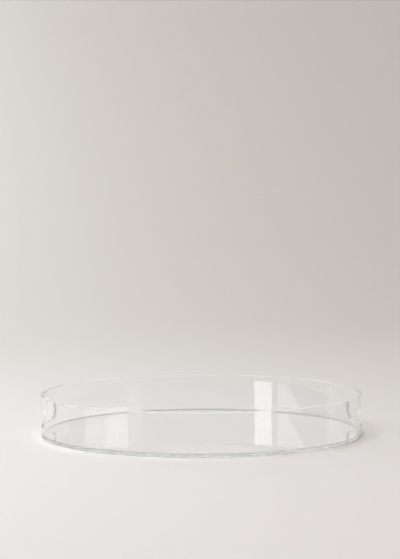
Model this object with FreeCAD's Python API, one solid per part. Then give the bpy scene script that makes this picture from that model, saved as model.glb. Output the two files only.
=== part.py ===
import FreeCAD, Part
import math
import os

# A round vanity tray of clear acrylic sheet and tube: a flat disc, a short ring of tube standing
# on its edge with two hand slots cut through it, and the solvent cement that joins the two.
# The origin is the centre of the underside, +Z is up, and the hand slots face +X and -X.
# All sizes are in millimetres.

# Overall sizes
outer_diameter = 350.0  # disc and ring are trimmed flush with each other
overall_height = 45.0  # from the underside of the disc to the rim

# Stock
floor_thickness = 3.0
wall_thickness = 3.0

# Hand slots, with full-round ends
slot_length = 96.0  # end to end, round the outside of the wall
slot_height = 20.0
slot_sill = 7.5  # from the tray's floor up to the slot

# Cement between disc and ring
cement_film = 0.1  # the gap that the cement fills
cement_bead = 0.8  # leg of the bead in the inside corner

# Edges, flame-polished or scraped
rim_rounding = 0.7
slot_rounding = 0.5
underside_rounding = 0.4
joint_rounding = 0.3  # outside, on both sheets where they meet
most_of_wall = 0.45  # no rounding takes more than this share of a sheet's thickness

# Worked out from the sizes above
outer_radius = outer_diameter / 2
inner_radius = outer_radius - wall_thickness
wall_bottom = floor_thickness + cement_film
slot_bottom = floor_thickness + slot_sill
slot_top = slot_bottom + slot_height
slot_end_radius = slot_height / 2
slot_straight_angle = math.degrees((slot_length - slot_height) / outer_radius)
past_the_wall = wall_thickness  # how far a cutting tool stands clear of each face
same_place = 0.01  # places nearer than this count as one
up = FreeCAD.Vector(0, 0, 1)
centre = FreeCAD.Vector(0, 0, 0)


def limited(rounding, thickness):
    """The radius of an eased edge on a sheet of this thickness."""
    return min(rounding, most_of_wall * thickness)


def point(radius, height):
    return FreeCAD.Vector(radius, 0, height)


def line(start, end):
    return Part.LineSegment(start, end).toShape()


def arc(start, end, middle):
    return Part.Arc(start, middle, end).toShape()


def rounded_corner(corner_radius, corner_height, outward, upward, rounding):
    """The quarter circle at a corner of a section: where it starts, its middle and where it ends.

    outward and upward are 1 or -1 and say which way the corner points. The arc starts on the side
    of the section and ends on its top or bottom.
    """
    middle_r = corner_radius - outward * rounding
    middle_z = corner_height - upward * rounding
    diagonal = rounding / math.sqrt(2)
    side = point(corner_radius, middle_z)
    bulge = point(middle_r + outward * diagonal, middle_z + upward * diagonal)
    flat = point(middle_r, corner_height)
    return side, bulge, flat


def turned(edges):
    """The solid that a closed section makes in one turn about the tray's axis."""
    face = Part.Face(Part.Wire(edges))
    return face.revolve(centre, up, 360)


def floor_disc():
    """The flat disc, eased round its underside and at the outside of the joint."""
    ease = limited(underside_rounding, floor_thickness)
    joint_ease = limited(joint_rounding, floor_thickness)
    low_side, low_bulge, low_flat = rounded_corner(outer_radius, 0, 1, -1, ease)
    high_side, high_bulge, high_flat = rounded_corner(outer_radius, floor_thickness, 1, 1, joint_ease)
    top_centre = point(0, floor_thickness)
    return turned([
        line(centre, low_flat),
        arc(low_flat, low_side, low_bulge),
        line(low_side, high_side),
        arc(high_side, high_flat, high_bulge),
        line(high_flat, top_centre),
        line(top_centre, centre),
    ])


def plain_ring():
    """The ring of tube before its slots are cut, with a rounded rim."""
    ease = limited(rim_rounding, wall_thickness)
    joint_ease = limited(joint_rounding, wall_thickness)
    inner_foot = point(inner_radius, wall_bottom)
    foot_side, foot_bulge, foot_flat = rounded_corner(outer_radius, wall_bottom, 1, -1, joint_ease)
    out_side, out_bulge, out_flat = rounded_corner(outer_radius, overall_height, 1, 1, ease)
    in_side, in_bulge, in_flat = rounded_corner(inner_radius, overall_height, -1, 1, ease)
    return turned([
        line(inner_foot, foot_flat),
        arc(foot_flat, foot_side, foot_bulge),
        line(foot_side, out_side),
        arc(out_side, out_flat, out_bulge),
        line(out_flat, in_flat),
        arc(in_flat, in_side, in_bulge),
        line(in_side, inner_foot),
    ])


def slot_cutter(facing):
    """The space of one hand slot, through the wall at an angle of facing degrees about +Z.

    A sector of a ring makes the straight stretch, and a radial cylinder makes each round end.
    """
    near = inner_radius - past_the_wall
    far = outer_radius + past_the_wall
    section = Part.makePolygon([
        point(near, slot_bottom), point(far, slot_bottom),
        point(far, slot_top), point(near, slot_top), point(near, slot_bottom),
    ])
    cutter = Part.Face(section).revolve(centre, up, slot_straight_angle)
    cutter.rotate(centre, up, -slot_straight_angle / 2)
    end_centre = point(near, slot_bottom + slot_end_radius)
    for side in (-1, 1):
        end = Part.makeCylinder(slot_end_radius, far - near, end_centre, FreeCAD.Vector(1, 0, 0))
        end.rotate(centre, up, side * slot_straight_angle / 2)
        cutter = cutter.fuse(end)
    cutter.rotate(centre, up, facing)
    return cutter.removeSplitter()


def slot_edges(ring):
    """The edges round both mouths of each slot, on the inner and outer faces of the ring."""
    found = []
    for edge in ring.Edges:
        points = edge.discretize(Number=5)
        radii = [math.hypot(p.x, p.y) for p in points]
        beside_slot = all(slot_bottom - same_place < p.z < slot_top + same_place for p in points)
        on_outer = all(abs(r - outer_radius) < same_place for r in radii)
        on_inner = all(abs(r - inner_radius) < same_place for r in radii)
        if beside_slot and (on_outer or on_inner):
            found.append(edge)
    return found


def wall_ring():
    """The ring of tube with both hand slots cut through it and their edges polished round."""
    ring = plain_ring()
    for facing in (0, 180):
        ring = ring.cut(slot_cutter(facing))
    return ring.makeFillet(limited(slot_rounding, wall_thickness), slot_edges(ring))


def joint_cement():
    """The cement: a thin film under the whole ring, and a small bead in the inside corner."""
    film_edge = outer_radius - limited(joint_rounding, wall_thickness)
    bead_toe = point(inner_radius - cement_bead, floor_thickness)
    bead_head = point(inner_radius, floor_thickness + cement_bead)
    film_outer_low = point(film_edge, floor_thickness)
    film_outer_high = point(film_edge, wall_bottom)
    film_inner_high = point(inner_radius, wall_bottom)
    return turned([
        line(film_outer_low, bead_toe),
        line(bead_toe, bead_head),
        line(bead_head, film_inner_high),
        line(film_inner_high, film_outer_high),
        line(film_outer_high, film_outer_low),
    ])


def save(name, shape):
    """Write one sub-part as parts/NAME.step, and print what was made."""
    solids = shape.Solids
    single = solids[0] if len(solids) == 1 else Part.makeCompound(solids)
    single.exportStep(os.path.join("parts", name + ".step"))
    box = single.optimalBoundingBox(False)
    print(f"{name}: {len(solids)} solid, valid {single.isValid()}, {single.Volume:.0f} mm3, "
          f"z {box.ZMin:.2f} to {box.ZMax:.2f}, across {box.XLength:.2f} x {box.YLength:.2f}")


os.makedirs("parts", exist_ok=True)
save("floor_disc", floor_disc())
save("wall_ring", wall_ring())
save("joint_cement", joint_cement())
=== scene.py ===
import math
import bmesh
import bpy
import numpy as np
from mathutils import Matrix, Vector


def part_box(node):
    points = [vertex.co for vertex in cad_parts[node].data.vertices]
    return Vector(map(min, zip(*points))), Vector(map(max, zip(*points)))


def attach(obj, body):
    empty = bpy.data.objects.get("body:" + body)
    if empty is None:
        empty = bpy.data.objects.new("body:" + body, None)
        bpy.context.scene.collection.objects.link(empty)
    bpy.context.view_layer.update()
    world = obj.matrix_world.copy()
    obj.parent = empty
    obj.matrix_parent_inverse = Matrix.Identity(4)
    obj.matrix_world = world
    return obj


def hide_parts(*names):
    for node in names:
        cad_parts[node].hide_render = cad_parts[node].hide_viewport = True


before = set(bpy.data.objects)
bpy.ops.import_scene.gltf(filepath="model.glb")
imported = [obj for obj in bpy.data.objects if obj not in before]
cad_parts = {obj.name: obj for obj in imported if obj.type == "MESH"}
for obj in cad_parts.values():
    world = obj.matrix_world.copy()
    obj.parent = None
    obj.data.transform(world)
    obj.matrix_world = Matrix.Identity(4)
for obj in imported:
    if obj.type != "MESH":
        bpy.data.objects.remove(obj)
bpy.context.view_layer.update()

# A round clear acrylic vanity tray on a pale studio sweep. All lengths are in metres.

wallLow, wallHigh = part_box("wall_ring")
discLow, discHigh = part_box("floor_disc")
outerRadius = wallHigh.x
floorTop = discHigh.z
rimHeight = wallHigh.z
wallFoot = wallLow.z
print("frame loaded: tray", round(outerRadius * 2000), "mm across,", round(rimHeight * 1000), "mm high")


def hexToLinear(text):
    # each sRGB channel c becomes c / 12.92 below 0.04045, and ((c + 0.055) / 1.055) to the power 2.4
    # above it
    c = np.array([int(text[i:i + 2], 16) for i in (1, 3, 5)]) / 255
    linear = np.where(c <= 0.04045, c / 12.92, ((c + 0.055) / 1.055) ** 2.4)
    return (*linear.tolist(), 1.0)


def addNode(material, kind, settings=None, links=None):
    # one node. settings are its own properties or its unlinked sockets, and links go from a (node, output)
    # to a socket
    node = material.node_tree.nodes.new(kind)
    for key, value in (settings or {}).items():
        if isinstance(key, str) and hasattr(node, key):
            setattr(node, key, value)
        else:
            node.inputs[key].default_value = value
    for key, (source, output) in (links or {}).items():
        material.node_tree.links.new(source.outputs[output], node.inputs[key])
    return node


def newMaterial(name):
    # a material with nothing in it but its output
    material = bpy.data.materials.new(name)
    material.use_nodes = True
    material.node_tree.nodes.clear()
    return material, addNode(material, "ShaderNodeOutputMaterial")


acrylic = dict(ior=1.49, tint="#FDFEFE", depthTint="#A8C8C2", depthDensity=0.45, polish=(0.004, 0.020),
               waveSize=0.070, waveDepth=0.000004, rippleSize=0.007, rippleDepth=0.0000025)


def makeCastAcrylic():
    # clear cast acrylic (PMMA). Its faces come from the mould mirror-smooth, with a long slight wave that
    # bends reflections a little, and its depth shows faintly green. Where the attribute cutEdge is 1 the
    # sheet was cut and gone over with a flame: that glints too, but with short ripples and a softer shine
    material, output = newMaterial("castAcrylicClear")
    place = addNode(material, "ShaderNodeTexCoord")
    cutEdge = addNode(material, "ShaderNodeAttribute", {"attribute_name": "cutEdge"})
    wave = addNode(material, "ShaderNodeTexNoise",
                   {"Scale": 1 / acrylic["waveSize"], "Detail": 1.0, "Roughness": 0.4},
                   {"Vector": (place, "Object")})
    waved = addNode(material, "ShaderNodeBump", {"Strength": 1.0, "Distance": acrylic["waveDepth"]},
                    {"Height": (wave, "Fac")})
    ripple = addNode(material, "ShaderNodeTexNoise",
                     {"Scale": 1 / acrylic["rippleSize"], "Detail": 2.0},
                     {"Vector": (place, "Object")})
    rippled = addNode(material, "ShaderNodeBump", {"Distance": acrylic["rippleDepth"]},
                      {"Strength": (cutEdge, "Fac"), "Height": (ripple, "Fac"),
                       "Normal": (waved, "Normal")})
    polish = addNode(material, "ShaderNodeMapRange",
                     {"To Min": acrylic["polish"][0], "To Max": acrylic["polish"][1]},
                     {"Value": (cutEdge, "Fac")})
    surface = addNode(material, "ShaderNodeBsdfPrincipled",
                      {"Base Color": hexToLinear(acrylic["tint"]), "IOR": acrylic["ior"],
                       "Transmission Weight": 1.0},
                      {"Normal": (rippled, "Normal"), "Roughness": (polish, "Result")})
    depth = addNode(material, "ShaderNodeVolumeAbsorption",
                    {"Color": hexToLinear(acrylic["depthTint"]), "Density": acrylic["depthDensity"]})
    material.node_tree.links.new(surface.outputs["BSDF"], output.inputs["Surface"])
    material.node_tree.links.new(depth.outputs["Volume"], output.inputs["Volume"])
    return material


cement = dict(ior=1.47, tint="#F6F8F8", roughness=0.12, ripplesPerMetre=900.0, rippleStrength=0.3,
              rippleDepth=0.00001)


def makeSolventCement():
    # solvent cement that has wicked along the joint: clear, a little duller than the sheet, with a fine
    # ripple of about a millimetre
    material, output = newMaterial("solventCementDried")
    place = addNode(material, "ShaderNodeTexCoord")
    ripple = addNode(material, "ShaderNodeTexNoise", {"Scale": cement["ripplesPerMetre"], "Detail": 2.0},
                     {"Vector": (place, "Object")})
    bump = addNode(material, "ShaderNodeBump",
                   {"Strength": cement["rippleStrength"], "Distance": cement["rippleDepth"]},
                   {"Height": (ripple, "Fac")})
    surface = addNode(material, "ShaderNodeBsdfPrincipled",
                      {"Base Color": hexToLinear(cement["tint"]), "Roughness": cement["roughness"],
                       "IOR": cement["ior"], "Transmission Weight": 1.0},
                      {"Normal": (bump, "Normal")})
    material.node_tree.links.new(surface.outputs["BSDF"], output.inputs["Surface"])
    return material


castAcrylic = makeCastAcrylic()
solventCement = makeSolventCement()
print("materials made")


def onTurn(radius, angle, height):
    # the point at this radius and angle round the tray's axis, and at this height
    return np.stack(np.broadcast_arrays(radius * np.cos(angle), radius * np.sin(angle), height), axis=-1)


def gridQuads(rows, columns, first):
    # the quads of a rows by columns grid whose vertices are numbered row by row from first
    corner = first + np.arange(rows - 1)[:, None] * columns + np.arange(columns - 1)[None, :]
    return np.stack([corner, corner + 1, corner + columns + 1, corner + columns], axis=-1).reshape(-1, 4)


def meshFromGrids(name, grids, material, weld=1e-6):
    # several grids of points become one mesh: vertices nearer than weld are joined, and then the faces are
    # turned outward
    points, quads, count = [], [], 0
    for grid in grids:
        rows, columns = grid.shape[:2]
        quads.append(gridQuads(rows, columns, count))
        points.append(grid.reshape(-1, 3))
        count += rows * columns
    mesh = bpy.data.meshes.new(name)
    mesh.from_pydata(np.vstack(points).tolist(), [], np.vstack(quads).tolist())
    solid = bmesh.new()
    solid.from_mesh(mesh)
    bmesh.ops.remove_doubles(solid, verts=solid.verts, dist=weld)
    bmesh.ops.recalc_face_normals(solid, faces=solid.faces)
    solid.to_mesh(mesh)
    solid.free()
    mesh.materials.append(material)
    mesh.shade_smooth()
    piece = bpy.data.objects.new(name, mesh)
    bpy.context.scene.collection.objects.link(piece)
    return piece


def markCutEdges(piece, nearest, farthest, lowest=-1.0):
    # the attribute cutEdge is 1 on faces whose middle lies between these distances from the axis, and above
    # lowest: distance = sqrt(x * x + y * y) of the face's middle
    mesh = piece.data
    middles = np.empty(len(mesh.polygons) * 3, dtype=np.float32)
    mesh.polygons.foreach_get("center", middles)
    x, y, z = middles.reshape(-1, 3).T
    distance = np.hypot(x, y)
    onEdge = (distance > nearest) & (distance < farthest) & (z > lowest)
    mesh.attributes.new("cutEdge", "FLOAT", "FACE").data.foreach_set("value", onEdge.astype(np.float32))


def roundCorner(centreR, centreZ, radius, start, end, steps):
    # points on a circle about (centreR, centreZ), from the start angle to the end angle in degrees
    turn = np.radians(np.linspace(start, end, steps + 1))
    return np.stack([centreR + radius * np.cos(turn), centreZ + radius * np.sin(turn)], axis=-1)


def straightRun(start, end, shares):
    # points between two places of a section, at these shares of the way
    shares = np.asarray(shares)[:, None]
    return np.array(start) * (1 - shares) + np.array(end) * shares


# rings are shares of the way from the disc's middle to its edge, crowded where the rounding starts
disc = dict(underEase=0.0004, jointEase=0.0003, cornerSteps=8, columns=720,
            rings=(0.0, 0.3, 0.6, 0.8, 0.9, 0.97, 0.995), sideRings=(0.1, 0.5, 0.9))


def makeFloorDisc():
    # a section (radius, height) from the middle of the underside round the edge to the middle of the top,
    # turned about the axis
    under, joint = disc["underEase"], disc["jointEase"]
    fromEdge = 1 - np.array(disc["rings"][::-1])
    section = np.vstack([
        straightRun((0, 0), (outerRadius - under, 0), disc["rings"]),
        roundCorner(outerRadius - under, under, under, -90, 0, disc["cornerSteps"]),
        straightRun((outerRadius, under), (outerRadius, floorTop - joint), disc["sideRings"]),
        roundCorner(outerRadius - joint, floorTop - joint, joint, 0, 90, disc["cornerSteps"]),
        straightRun((outerRadius - joint, floorTop), (0, floorTop), fromEdge),
    ])
    angle = np.linspace(0, 2 * np.pi, disc["columns"] + 1)
    grid = onTurn(section[:, :1], angle[None, :], section[:, 1:])
    return meshFromGrids("trayFloorDisc", [grid], castAcrylic)


floorDisc = makeFloorDisc()
markCutEdges(floorDisc, outerRadius - disc["underEase"], outerRadius + 1)
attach(floorDisc, "root")
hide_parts("floor_disc")
print("floor disc made")


# panelHalfAngle is in degrees. bendShare is the share of the columns along a slot's long side that goes to
# the round at each end, and rowCrowding draws the rows of a panel towards the slot
wall = dict(thickness=0.003, rimEase=0.0007, jointEase=0.0003, slotEase=0.0005, slotLength=0.096,
            slotHeight=0.020, slotSill=0.0075, panelHalfAngle=21.0, panelMargin=0.0035, panelColumns=144,
            panelLevels=28, plainColumns=250, cornerSteps=8, faceRows=9, rowCrowding=1.6, bendShare=0.22,
            liningShares=(0.08, 0.5, 0.92), faceSlack=0.00002)

innerRadius = outerRadius - wall["thickness"]
slotMiddle = floorTop + wall["slotSill"] + wall["slotHeight"] / 2
slotHalfAngle = (wall["slotLength"] - wall["slotHeight"]) / 2 / outerRadius
panelLow = slotMiddle - wall["slotHeight"] / 2 - wall["panelMargin"]
panelHigh = slotMiddle + wall["slotHeight"] / 2 + wall["panelMargin"]
panelAngle = math.radians(wall["panelHalfAngle"])


def closedLoop(values):
    # the same values with the first one again at the end
    return np.append(values, values[0])


def slotLoop(columns, levels):
    # once round a slot with full-round ends. Each place has a base angle along the slot and a direction:
    # the base moves along the straight sides, and the direction turns round the ends
    bendShare = wall["bendShare"]
    along = np.linspace(0, 1, columns + 1)[:-1]
    base = slotHalfAngle * np.clip(1 - 2 * (along - bendShare) / (1 - 2 * bendShare), -1, 1)
    turn = np.interp(along, [0, bendShare, 1 - bendShare, 1], [45, 90, 90, 135])
    across = np.linspace(0, 1, levels + 1)[:-1]
    direction = np.concatenate([turn, 135 + 90 * across, turn + 180, 315 + 90 * across])
    place = np.concatenate([base, np.full(levels, -slotHalfAngle), -base, np.full(levels, slotHalfAngle)])
    return closedLoop(place), np.radians(closedLoop(direction))


def panelEdge(columns, levels):
    # once round the oblong of wall that holds a slot, as angle and height, in step with slotLoop
    along = np.linspace(1, -1, columns + 1)[:-1] * panelAngle
    down = np.linspace(panelHigh, panelLow, levels + 1)[:-1]
    angle = np.concatenate([along, np.full(levels, -panelAngle), -along, np.full(levels, panelAngle)])
    height = np.concatenate([np.full(columns, panelHigh), down, np.full(columns, panelLow),
                             panelHigh + panelLow - down])
    return closedLoop(angle), closedLoop(height)


def slotPanel(facing):
    # one grid: from the oblong's edge over the outer face to the slot, through the wall, and back over the
    # inner face. Off the slot's line by a distance d, at radius r, a place has the angle
    # base + asin(d cos(direction) / r) and the height d sin(direction) above the slot's middle
    ease, endRadius = wall["slotEase"], wall["slotHeight"] / 2
    base, direction = slotLoop(wall["panelColumns"], wall["panelLevels"])
    edgeAngle, edgeHeight = panelEdge(wall["panelColumns"], wall["panelLevels"])

    def ringOfSlot(distance, radius):
        angle = base + np.arcsin(distance * np.cos(direction) / radius)
        return angle, slotMiddle + distance * np.sin(direction)

    def faceRows(radius, shares):
        slotAngle, slotZ = ringOfSlot(endRadius + ease, radius)
        return [onTurn(radius, facing + edgeAngle * share + slotAngle * (1 - share),
                       edgeHeight * share + slotZ * (1 - share)) for share in shares]

    shares = np.linspace(1, 0, wall["faceRows"]) ** wall["rowCrowding"]
    turn = np.radians(np.linspace(0, 90, wall["cornerSteps"] + 1))
    outerTurn = [(endRadius + ease - ease * np.sin(a), outerRadius - ease + ease * np.cos(a)) for a in turn]
    lining = [(endRadius, outerRadius - ease - share * (wall["thickness"] - 2 * ease))
              for share in wall["liningShares"]]
    innerTurn = [(endRadius + ease - ease * np.cos(a), innerRadius + ease - ease * np.sin(a)) for a in turn]
    through = []
    for distance, radius in outerTurn + lining + innerTurn:
        angle, height = ringOfSlot(distance, radius)
        through.append(onTurn(radius, facing + angle, height))
    rows = faceRows(outerRadius, shares[:-1]) + through + faceRows(innerRadius, shares[:-1][::-1])
    return np.stack(rows)


def rimStrip():
    # the section over the rim, from the outer face at the top of the panels to the inner face there
    ease, steps = wall["rimEase"], wall["cornerSteps"]
    return np.vstack([
        straightRun((outerRadius, panelHigh), (outerRadius, rimHeight - ease), [0, 0.5, 0.92]),
        roundCorner(outerRadius - ease, rimHeight - ease, ease, 0, 90, steps),
        straightRun((outerRadius - ease, rimHeight), (innerRadius + ease, rimHeight), [0.15, 0.5, 0.85]),
        roundCorner(innerRadius + ease, rimHeight - ease, ease, 90, 180, steps),
        straightRun((innerRadius, rimHeight - ease), (innerRadius, panelHigh), [0.08, 0.5, 1]),
    ])


def footStrip():
    # the section under the wall, from the inner face at the bottom of the panels to the outer face there
    ease, steps = wall["jointEase"], wall["cornerSteps"]
    return np.vstack([
        straightRun((innerRadius, panelLow), (innerRadius, wallFoot), [0, 0.5, 0.95, 1]),
        straightRun((innerRadius, wallFoot), (outerRadius - ease, wallFoot), [0.05, 0.5, 0.95]),
        roundCorner(outerRadius - ease, wallFoot + ease, ease, -90, 0, steps),
        straightRun((outerRadius, wallFoot + ease), (outerRadius, panelLow), [0.08, 0.5, 1]),
    ])


def turnedStrip(section, angles):
    # a section (radius, height) carried round the axis through these angles
    return onTurn(section[:, :1], angles[None, :], section[:, 1:])


def makeWallRing():
    # two plain arcs with the whole section, and at each slot a rim strip, a foot strip and a slot panel
    levels = np.linspace(panelLow, panelHigh, wall["panelLevels"] + 1)
    outerFace = np.stack([np.full_like(levels, outerRadius), levels], axis=-1)
    innerFace = np.stack([np.full_like(levels, innerRadius), levels[::-1]], axis=-1)
    whole = np.vstack([outerFace, rimStrip()[1:], innerFace[1:], footStrip()[1:]])
    grids = []
    for facing in (0.0, math.pi):
        plain = np.linspace(panelAngle, math.pi - panelAngle, wall["plainColumns"] + 1) + facing
        beside = np.linspace(-panelAngle, panelAngle, wall["panelColumns"] + 1) + facing
        grids += [turnedStrip(whole, plain), turnedStrip(rimStrip(), beside),
                  turnedStrip(footStrip(), beside), slotPanel(facing)]
    return meshFromGrids("trayWallRing", grids, castAcrylic)


wallRing = makeWallRing()
markCutEdges(wallRing, innerRadius + wall["faceSlack"], outerRadius - wall["faceSlack"],
             lowest=wallFoot + wall["jointEase"])
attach(wallRing, "root")
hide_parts("wall_ring")
print("wall ring made:", len(wallRing.data.polygons), "faces")


# wanderWaves are (waves round the ring, start in radians)
bead = dict(leg=0.00050, legWander=0.00005, hollow=0.00008, clearance=0.00001, columns=1440, faceSteps=6,
            wanderWaves=((17, 0.7), (41, 2.1), (73, 4.0)))


def makeJointCement():
    # a film under the wall and a bead in the inside corner, whose leg wanders a little round the ring:
    # leg(angle) = mean leg + wander * (mean of the sines of waves * angle + start), and its face is
    # hollowed by a parabola: 4 * share * (1 - share) * hollow
    gap = bead["clearance"]
    angle = np.linspace(0, 2 * np.pi, bead["columns"] + 1)
    waves = [np.sin(waves * angle + start) for waves, start in bead["wanderWaves"]]
    wander = sum(waves) / len(waves)
    leg = bead["leg"] + bead["legWander"] * wander
    filmEdge = outerRadius - wall["jointEase"]
    low, high = floorTop + gap, wallFoot - gap
    inner = innerRadius - gap
    share = np.linspace(0, 1, bead["faceSteps"] + 1)[:, None]
    hollow = 4 * share * (1 - share) * bead["hollow"]
    faceR = inner - leg * (1 - share) + hollow / math.sqrt(2)
    faceZ = low + leg * share - hollow / math.sqrt(2)
    flat = np.ones_like(angle)[None, :]
    sectionR = np.vstack([flat * filmEdge, faceR, flat * inner, flat * filmEdge, flat * filmEdge])
    sectionZ = np.vstack([flat * low, faceZ, flat * high, flat * high, flat * low])
    return meshFromGrids("trayJointCement", [onTurn(sectionR, angle[None, :], sectionZ)], solventCement)


jointCement = makeJointCement()
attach(jointCement, "root")
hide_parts("joint_cement")
print("joint cement made")


studio = dict(floorRadius=1.5, coveRadius=2.3, wallTop=2.8, gap=0.0002, paint="#E9E6E3", paintRoughness=0.9,
              paintGloss=0.1, floorRows=12, coveSteps=36, columns=180, air="#FFEDD6", airStrength=0.316)


def makeSweep():
    # a flat floor, a quarter-round cove and an upright wall, turned about the tray's axis
    cove = studio["coveRadius"]
    section = np.vstack([
        straightRun((0, 0), (studio["floorRadius"], 0), np.linspace(0, 1, studio["floorRows"])),
        roundCorner(studio["floorRadius"], cove, cove, -90, 0, studio["coveSteps"])[1:],
        straightRun((studio["floorRadius"] + cove, cove), (studio["floorRadius"] + cove, studio["wallTop"]),
                    [0.5, 1]),
    ])
    angle = np.linspace(0, 2 * np.pi, studio["columns"] + 1)
    grid = onTurn(section[:, :1], angle[None, :], section[:, 1:] - studio["gap"])
    material, output = newMaterial("sweepMattePaint")
    surface = addNode(material, "ShaderNodeBsdfPrincipled",
                      {"Base Color": hexToLinear(studio["paint"]), "Roughness": studio["paintRoughness"],
                       "Specular IOR Level": studio["paintGloss"]})
    material.node_tree.links.new(surface.outputs["BSDF"], output.inputs["Surface"])
    sweep = meshFromGrids("studioSweep", [grid], material)
    sweep.data.flip_normals()


makeSweep()

# the radiances and tints of the softboxes, the cards and the air began as a least-squares fit, by another
# script, of the tones wanted on the sweep and the tray, and most were then changed by hand. The cards' edges
# were found by following the camera's rays through the tray

# place is a softbox's middle, aim is what it faces, size is its width and height
softboxes = {
    "overheadSoftbox": dict(place=(-0.95, -0.65, 1.9), aim=(-0.1, -0.1, 0), size=(1.3, 1.3),
                            radiance=6.2, tint="#F4F6FF"),
    "keySoftbox": dict(place=(-1.15, 0.1, 0.95), aim=(0, 0, 0), size=(0.9, 0.7),
                       radiance=1.8, tint="#DCF9FF"),
    "washSoftbox": dict(place=(-1.9, 0.7, 0.8), aim=(-0.7, 1.5, 0), size=(0.6, 0.6),
                        radiance=1.2, tint="#FFF8F0"),
    "sideSoftbox": dict(place=(-2.0, 2.2, 1.3), aim=(0, 2.9, 0.3), size=(0.8, 0.8),
                        radiance=15, tint="#F0F8FF"),
}

# cards and the tent are there only to be mirrored in the acrylic. azimuth is in degrees from the camera's
# side of the tray, positive to its left. low is the elevation of a card's lower edge at its two ends, and
# top that of its upper edge, which is fadeTo where none is given. nearer is how much closer to the tray
# than the tent a card hangs. From fadeFrom to fadeTo, in degrees, every card turns into the tent's white
tent = dict(radiance=1.1, tint="#FFFEFC", fadeFrom=10.0, fadeTo=14.0, distance=2.25, columns=49, rows=25)
cards = {
    "frontCard": dict(azimuth=(-48, 63), low=(1, 1), radiance=0.50, tint="#F4F5FC"),
    "barCard": dict(azimuth=(43.2, 57.9), low=(1, 1), radiance=4.8, tint="#FFFEFE", nearer=0.25),
    "leftCard": dict(azimuth=(63, 114), low=(1, 1), radiance=0.27, tint="#F6F2FF"),
    "gableLowCard": dict(azimuth=(63.2, 83.5), low=(5, 7.68), top=8.1,
                         radiance=2.2, tint="#FAFDFF", nearer=0.25),
    "gableHighCard": dict(azimuth=(63.2, 87.5), low=(7.2, 10.2), radiance=2.1, tint="#FCFDFF", nearer=0.26),
    "bandCard": dict(azimuth=(-61, -49.5), low=(1, 1), radiance=1.1, tint="#F2FFFD", nearer=0.25),
    "rightCard": dict(azimuth=(-114, -48), low=(1, 1), radiance=0.44, tint="#F6FFFE"),
    "windowCard": dict(azimuth=(-80.5, -61), low=(7.75, 7.75), radiance=3.0, tint="#FCFFFD", nearer=0.25),
    "doorCard": dict(azimuth=(-104, -80.5), low=(7.6, 7.6), radiance=1.95, tint="#F8FCFF", nearer=0.25),
    "backLeftCard": dict(azimuth=(114, 150), low=(3, 3), radiance=0.83, tint="#FFF7F7"),
    "backRightCard": dict(azimuth=(-150, -114), low=(3, 3), radiance=0.67, tint="#FFFBF2"),
    "backCard": dict(azimuth=(150, 210), low=(3, 3), radiance=0.78, tint="#FFFAF8"),
    "tentRoof": dict(azimuth=(0, 360), low=(tent["fadeTo"], tent["fadeTo"]), top=89.9,
                     radiance=tent["radiance"], tint=tent["tint"]),
}


def makeSoftbox(name, box):
    # a rectangular light of this radiance: power = radiance * pi * width * height
    light = bpy.data.lights.new(name, "AREA")
    light.shape = "RECTANGLE"
    light.size, light.size_y = box["size"]
    light.energy = box["radiance"] * math.pi * box["size"][0] * box["size"][1]
    light.color = hexToLinear(box["tint"])[:3]
    lamp = bpy.data.objects.new(name, light)
    bpy.context.scene.collection.objects.link(lamp)
    lamp.location = box["place"]
    lamp.rotation_euler = (Vector(box["aim"]) - lamp.location).to_track_quat("-Z", "Y").to_euler()
    lamp.visible_camera = False


def cardGlow(name, card):
    # glows for rays that come from the camera by way of the acrylic alone, and is not there for rays that
    # have met the sweep, so that it neither lights the sweep nor shades it. Its height turns its colour
    # into the tent's
    material, output = newMaterial(name + "Glow")
    place = addNode(material, "ShaderNodeTexCoord")
    height = addNode(material, "ShaderNodeSeparateXYZ", {}, {0: (place, "Object")})
    away = tent["distance"] - card.get("nearer", 0)
    fadeLow, fadeHigh = (away * math.sin(math.radians(tent[key])) for key in ("fadeFrom", "fadeTo"))
    fade = addNode(material, "ShaderNodeMapRange",
                   {"interpolation_type": "SMOOTHSTEP", "From Min": fadeLow, "From Max": fadeHigh},
                   {"Value": (height, "Z")})
    own = addNode(material, "ShaderNodeEmission",
                  {"Color": hexToLinear(card["tint"]), "Strength": card["radiance"]})
    tentWhite = addNode(material, "ShaderNodeEmission",
                        {"Color": hexToLinear(tent["tint"]), "Strength": tent["radiance"]})
    glow = addNode(material, "ShaderNodeMixShader", {},
                   {0: (fade, "Result"), 1: (own, 0), 2: (tentWhite, 0)})
    nothing = addNode(material, "ShaderNodeBsdfTransparent")
    path = addNode(material, "ShaderNodeLightPath")
    mirrored = addNode(material, "ShaderNodeMath", {"operation": "LESS_THAN", 1: 0.5},
                       {0: (path, "Diffuse Depth")})
    either = addNode(material, "ShaderNodeMixShader", {}, {0: (mirrored, 0), 1: (nothing, 0), 2: (glow, 0)})
    material.node_tree.links.new(either.outputs["Shader"], output.inputs["Surface"])
    material.cycles.emission_sampling = "NONE"
    return material


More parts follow.
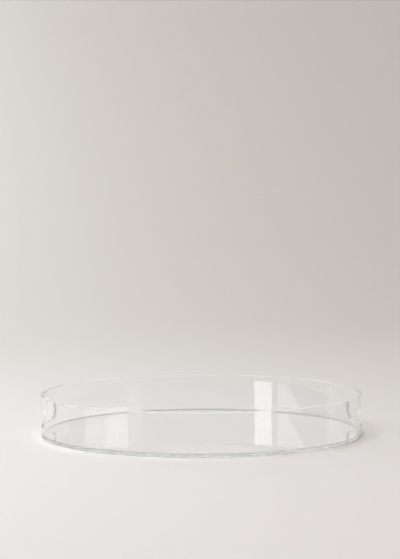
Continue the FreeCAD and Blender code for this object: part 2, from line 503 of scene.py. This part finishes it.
def makeCard(name, card):
    # a piece of a ball about the tray: a place is distance * (-cos(elevation) sin(azimuth),
    # -cos(elevation) cos(azimuth), sin(elevation)), where elevation runs from low to top up the card
    along = np.linspace(0, 1, tent["columns"])[None, :]
    up = np.linspace(0, 1, tent["rows"])[:, None]
    azimuth = np.radians(card["azimuth"][0] * (1 - along) + card["azimuth"][1] * along)
    low = card["low"][0] * (1 - along) + card["low"][1] * along
    elevation = np.radians(low * (1 - up) + card.get("top", tent["fadeTo"]) * up)
    flat = np.cos(elevation)
    ball = np.stack([-flat * np.sin(azimuth), -flat * np.cos(azimuth), np.sin(elevation)], axis=-1)
    piece = meshFromGrids(name, [ball * (tent["distance"] - card.get("nearer", 0))], cardGlow(name, card))
    piece.visible_camera = piece.visible_shadow = False


for boxName, box in softboxes.items():
    makeSoftbox(boxName, box)
for cardName, card in cards.items():
    makeCard(cardName, card)

world = bpy.data.worlds.new("studioAir")
world.use_nodes = True
world.node_tree.nodes["Background"].inputs["Color"].default_value = hexToLinear(studio["air"])
world.node_tree.nodes["Background"].inputs["Strength"].default_value = studio["airStrength"]
bpy.context.scene.world = world

# sensor and lens are in millimetres, pitch and roll in degrees. The numbers come from a least-squares fit of
# the tray's outlines, by another script
camera = dict(back=1.750, height=0.2537, aside=-0.00096, pitch=2.795, roll=0.24, lens=103.12, sensor=36.0,
              nearest=0.05, farthest=50.0)


def makeCamera():
    # looks along +Y from the front, pitched down by pitch degrees and rolled by roll degrees
    data = bpy.data.cameras.new("frontCamera")
    data.sensor_fit, data.sensor_width, data.lens = "AUTO", camera["sensor"], camera["lens"]
    data.clip_start, data.clip_end = camera["nearest"], camera["farthest"]
    eye = bpy.data.objects.new("frontCamera", data)
    bpy.context.scene.collection.objects.link(eye)
    eye.rotation_mode = "XYZ"
    eye.location = (camera["aside"], -camera["back"], camera["height"])
    eye.rotation_euler = (math.radians(90 - camera["pitch"]), 0, 0)
    eye.rotation_euler.rotate_axis("Z", math.radians(-camera["roll"]))
    bpy.context.scene.camera = eye


makeCamera()

# a look through the tray meets many surfaces, and its rim and slots go dark with fewer bounces
rays = dict(bounces=96, filterWidth=2.0)

scene = bpy.context.scene
scene.view_settings.view_transform = "Standard"
scene.cycles.max_bounces = rays["bounces"]
scene.cycles.transmission_bounces = rays["bounces"]
scene.cycles.glossy_bounces = rays["bounces"]
scene.cycles.sample_clamp_indirect = 0
scene.cycles.blur_glossy = 0  # so that light passes through the acrylic to what stands under it
scene.cycles.filter_width = rays["filterWidth"]  # thin bright edges look stepped with a narrower one
print("studio, lights and camera made")
